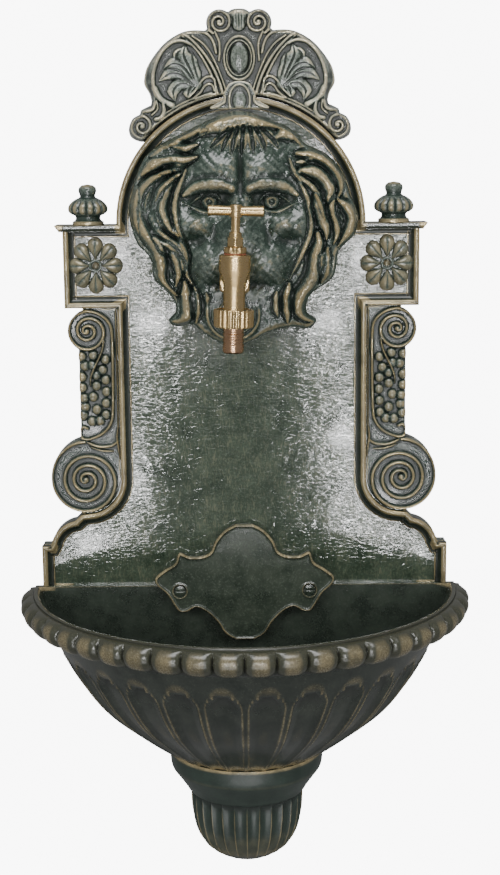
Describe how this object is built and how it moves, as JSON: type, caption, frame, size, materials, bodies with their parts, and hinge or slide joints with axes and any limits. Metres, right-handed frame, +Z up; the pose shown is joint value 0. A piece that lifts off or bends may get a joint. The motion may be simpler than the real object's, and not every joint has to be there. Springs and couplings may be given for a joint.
{
  "type": "drinking fountain",
  "caption": "Wall-mounted cast drinking fountain: arched back plate with crest and lion mask, brass tap, half-round fluted basin and pendant below.",
  "frame": {"origin": "centre line of the fountain in the wall plane, level with the top of the basin, on the flat back of the plate's lower rib", "axes": "+X to the right seen from the front, +Y into the wall, +Z up"},
  "size_m": [0.3856, 0.2088, 0.7269],
  "materials": {
    "painted_casting": "glossy dark green paint with pale gold rubbed on the raised edges",
    "basin_casting": "dark grey-green paint with olive-bronze rim and worn gold edges",
    "polished_brass": "polished",
    "copper_alloy": "polished, copper toned",
    "zinc_steel": "zinc plated",
    "black_rubber": "matt",
    "red_fibre": "matt vulcanised fibre"
  },
  "bodies": {
    "fountain": {"back_plate": "painted_casting", "basin": "basin_casting", "basin_bolt_1": "zinc_steel", "basin_bolt_2": "zinc_steel", "basin_bolt_3": "zinc_steel", "basin_bolt_4": "zinc_steel", "cover_plate": "painted_casting", "cover_screw_left": "painted_casting", "cover_screw_right": "painted_casting", "crest": "painted_casting", "crest_screw_left": "zinc_steel", "crest_screw_right": "zinc_steel", "finial_left": "painted_casting", "finial_nut_left": "zinc_steel", "finial_nut_right": "zinc_steel", "finial_right": "painted_casting", "gland_nut": "polished_brass", "gland_packing": "red_fibre", "headgear": "polished_brass", "headgear_washer": "red_fibre", "inlet_backnut": "polished_brass", "inlet_extension": "polished_brass", "inlet_washer": "red_fibre", "lion_mask": "painted_casting", "mask_screw_1": "zinc_steel", "mask_screw_2": "zinc_steel", "mask_screw_3": "zinc_steel", "mask_screw_4": "zinc_steel", "pendant": "basin_casting", "pendant_bolt_left": "zinc_steel", "pendant_bolt_right": "zinc_steel", "tap_body": "polished_brass", "waste_elbow": "copper_alloy", "waste_nut": "polished_brass", "waste_seal": "black_rubber", "waste_strainer": "polished_brass"},
    "jumper": {"jumper_valve": "polished_brass", "valve_washer": "black_rubber", "valve_nut": "polished_brass"},
    "handle": {"spindle": "polished_brass", "t_bar": "polished_brass", "handle_pin": "polished_brass"},
    "tail": {"hose_tail": "copper_alloy", "union_washer": "black_rubber"},
    "union_nut": {"hose_union_nut": "polished_brass"}
  },
  "joints": [
    {"name": "jumper_lift", "type": "slide", "parent": "fountain", "child": "jumper", "axis": [0.0314, 0, 0.9995], "range_m": [0, 0.00555]},
    {"name": "handle_turn", "type": "hinge", "parent": "jumper", "child": "handle", "pos_m": [-0.0053, -0.09, 0.267], "axis": [0.0314, 0, 0.9995], "range_deg": [0, 990]},
    {"name": "tail_drop", "type": "slide", "parent": "fountain", "child": "tail", "axis": [-0.0314, 0, -0.9995], "range_m": [0, 0.0055]},
    {"name": "hose_nut_turn", "type": "hinge", "parent": "tail", "child": "union_nut", "pos_m": [-0.0053, -0.09, 0.267], "axis": [-0.0314, 0, -0.9995], "range_deg": [0, 1080]}
  ],
  "couplings": [
    {"joint": "jumper_lift", "follows": "handle_turn", "m_per_rad": 0.00031831},
    {"joint": "tail_drop", "follows": "hose_nut_turn", "m_per_rad": 0.00028871}
  ]
}
